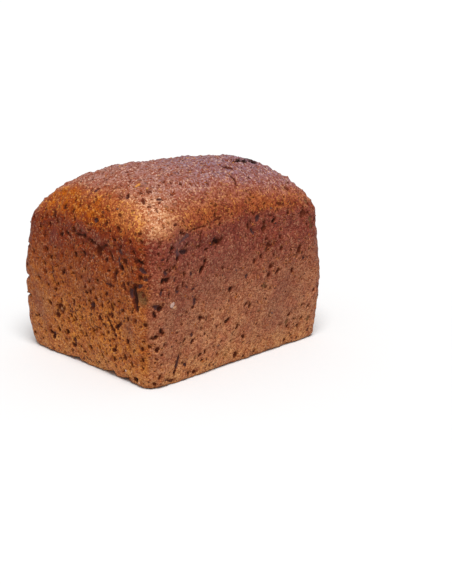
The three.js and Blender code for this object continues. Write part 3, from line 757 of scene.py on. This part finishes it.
def skin_of_flakes(tone, flake_tone, fibre, smoothest):
    """Finishes a material of flakes with its colour, its fibres and how smooth they are at best."""
    bumps = tone.node("ShaderNodeBump", None, {
        "Strength": fibre_strength, "Distance": fibre_height * MILLIMETRE, "Height": fibre})
    surface = tone.node("ShaderNodeBsdfPrincipled", None, {
        "Base Color": flake_tone, "Roughness": smoothest + fibre * 0.3, "Normal": bumps,
        "Specular IOR Level": flake_shine})
    tone.node("ShaderNodeOutputMaterial", None, {"Surface": surface})


whole = (fields["hollow"] < 0.15) & (fields["char"] < 0.1) & (fields["glaze"] < 0.2)
bran_tries, bran_share, bran_share_gained_on_top = 560, 0.35, 0.35
shortest_bran, bran_spread, bran_slimness = 0.8, 1.3, (0.45, 0.8)
bran_seats = seats_on_crust(bran_tries, whole)
bran_chance = bran_share + bran_share_gained_on_top * on_top[bran_seats]
bran_seats = bran_seats[seed.random(len(bran_seats)) < bran_chance]
bran_lengths = shortest_bran + bran_spread * seed.random(len(bran_seats)) ** 2
bran_widths = bran_lengths * seed.uniform(*bran_slimness, len(bran_seats))
bran_turns = seed.uniform(0, np.pi, len(bran_seats))
bran_tints = 0.2 + 0.6 * on_top[bran_seats] * seed.random(len(bran_seats))

# The scales, flour and pale grain that stand out: place, length, width, turn in degrees, and tint.
chosen = (
    ((-49, -25, 108), 4.4, 2.4, 60, 0), ((-47, -32, 107), 1.8, 1.4, 0, 0.75),
    ((-54.5, front, 48.5), 3.8, 2.6, 70, 0.95), ((-53, front, 46.5), 3, 2.2, 20, 0.82),
    ((-36, -52, 98), 1.8, 1.2, 0, 0.8), ((left, -36, 6), 1.4, 1.2, 0, 1),
    ((left, -47, 2), 1.4, 1, 0, 0.9), ((62, -52, 87), 3, 2, 20, 0.5),
    ((left, 20.5, 30), 5, 2.8, 80, 0.8),
)
chosen_seats = np.array([skin_finder.find(row[0])[1] for row in chosen])
chosen_shapes = np.array([row[1:] for row in chosen])
bran_mesh = flakes(
    "bran_flakes",
    np.concatenate([bran_seats, chosen_seats]),
    np.concatenate([bran_lengths, chosen_shapes[:, 0]]),
    np.concatenate([bran_widths, chosen_shapes[:, 1]]),
    np.concatenate([bran_turns, np.radians(chosen_shapes[:, 2])]),
    np.concatenate([bran_tints, chosen_shapes[:, 3]]),
)

bran_finish, tone = new_finish("toasted_bran")
tint, fibre = tone.field("tint"), tone.grains(tone.places(), fibre_size, 2.0, 0.6)
golden_bran, toasted = colour("C88840"), colour("9A5620")
straw, floury = colour("BE8044"), colour("B89A8E")
light_fibre, dark_fibre = (1.2, 1.2, 1.2, 1), (0.6, 0.5, 0.45, 1)
bran_tone = tone.lay(toasted, golden_bran, tint.rise(0.02, 0.2))
bran_tone = tone.lay(straw, bran_tone, tint.rise(0.2, 0.7))
bran_tone = tone.lay(floury, bran_tone, tint.rise(0.72, 0.95))
fibre_tone = tone.lay(light_fibre, dark_fibre, fibre.rise(0.3, 0.7))
bran_tone = tone.lay(fibre_tone, bran_tone, 1.0, "MULTIPLY")
skin_of_flakes(tone, bran_tone, fibre, smoothest=0.5)
bran = put_in_scene("bran_flakes", bran_mesh, bran_finish)
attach(bran, "root")

# ---- The rye hulls ----
# Narrow scraps of rye husk, baked dark brown to slate. They lie in the crust as the bran does,
# and show as dark flecks where the skin is whole.

hull_tries, shortest_hull, hull_spread, hull_slimness = 300, 0.8, 1.2, (0.35, 0.6)
hull_seats = seats_on_crust(hull_tries, whole)
hull_lengths = shortest_hull + hull_spread * seed.random(len(hull_seats)) ** 2
hull_widths = hull_lengths * seed.uniform(*hull_slimness, len(hull_seats))
hull_turns, hull_tints = seed.uniform(0, np.pi, len(hull_seats)), seed.random(len(hull_seats))
hull_mesh = flakes("rye_hulls", hull_seats, hull_lengths, hull_widths, hull_turns, hull_tints)

hull_finish, tone = new_finish("baked_hull")
tint, fibre = tone.field("tint"), tone.grains(tone.places(), fibre_size, 2.0, 0.6)
husk, dark_husk, blue_husk = colour("6A3616"), colour("38180E"), colour("4E3C40")
hull_tone = tone.lay(husk, dark_husk, tint.rise(0.1, 0.8) * (0.6 + fibre * 0.4))
hull_tone = tone.lay(blue_husk, hull_tone, tint.rise(0.75, 0.85) * 0.8)
skin_of_flakes(tone, hull_tone, fibre, smoothest=0.45)
hulls = put_in_scene("rye_hulls", hull_mesh, hull_finish)
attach(hulls, "root")

# ---- The floor and the light ----
# A plain white floor that runs out of view, lit evenly from all round by white walls, and from
# high above the near left corner by one broad lamp, which puts a soft highlight on that corner,
# over the highlight painted there.

floor_reach, floor_tone = 20, (0.72, 0.72, 0.72, 1)
floor_mesh = bpy.data.meshes.new("floor")
corners = [(-floor_reach, -floor_reach, 0), (floor_reach, -floor_reach, 0),
           (floor_reach, floor_reach, 0), (-floor_reach, floor_reach, 0)]
floor_mesh.from_pydata(corners, [], [(0, 1, 2, 3)])
white, tone = new_finish("white_floor")
white_surface = tone.node("ShaderNodeBsdfPrincipled", None, {
    "Base Color": floor_tone, "Roughness": 1, "Specular IOR Level": 0})
tone.node("ShaderNodeOutputMaterial", None, {"Surface": white_surface})
floor = put_in_scene("floor", floor_mesh, white)

walls_tone, walls_strength = (1, 1, 1, 1), 0.48
world = bpy.data.worlds.new("white_walls")
world.use_nodes = True
world.node_tree.nodes["Background"].inputs["Color"].default_value = walls_tone
world.node_tree.nodes["Background"].inputs["Strength"].default_value = walls_strength
bpy.context.scene.world = world

lamp_from, lamp_strength, lamp_spread = Vector((-0.25, -0.34, 0.91)), 3.3, math.radians(30)
lamp_data = bpy.data.lights.new("broad_lamp", "SUN")
lamp_data.energy, lamp_data.angle = lamp_strength, lamp_spread
lamp = bpy.data.objects.new("broad_lamp", lamp_data)
lamp.rotation_euler = lamp_from.to_track_quat("Z", "Y").to_euler()
bpy.context.scene.collection.objects.link(lamp)

# ---- The camera ----
# It stands off the loaf's near left corner, at more than twice its height, and looks down at it.

camera_lens, camera_sensor = 76.68, 36
camera_place, camera_tilt, camera_turn = (-0.4764, -0.5418, 0.2584), -0.307, -0.765
camera_data = bpy.data.cameras.new("camera")
camera_data.lens, camera_data.sensor_width = camera_lens, camera_sensor
camera = bpy.data.objects.new("camera", camera_data)
camera.location = camera_place
camera.rotation_euler = (math.pi / 2 + camera_tilt, 0, camera_turn)
bpy.context.scene.collection.objects.link(camera)
bpy.context.scene.camera = camera
bpy.context.scene.view_settings.view_transform = "Standard"
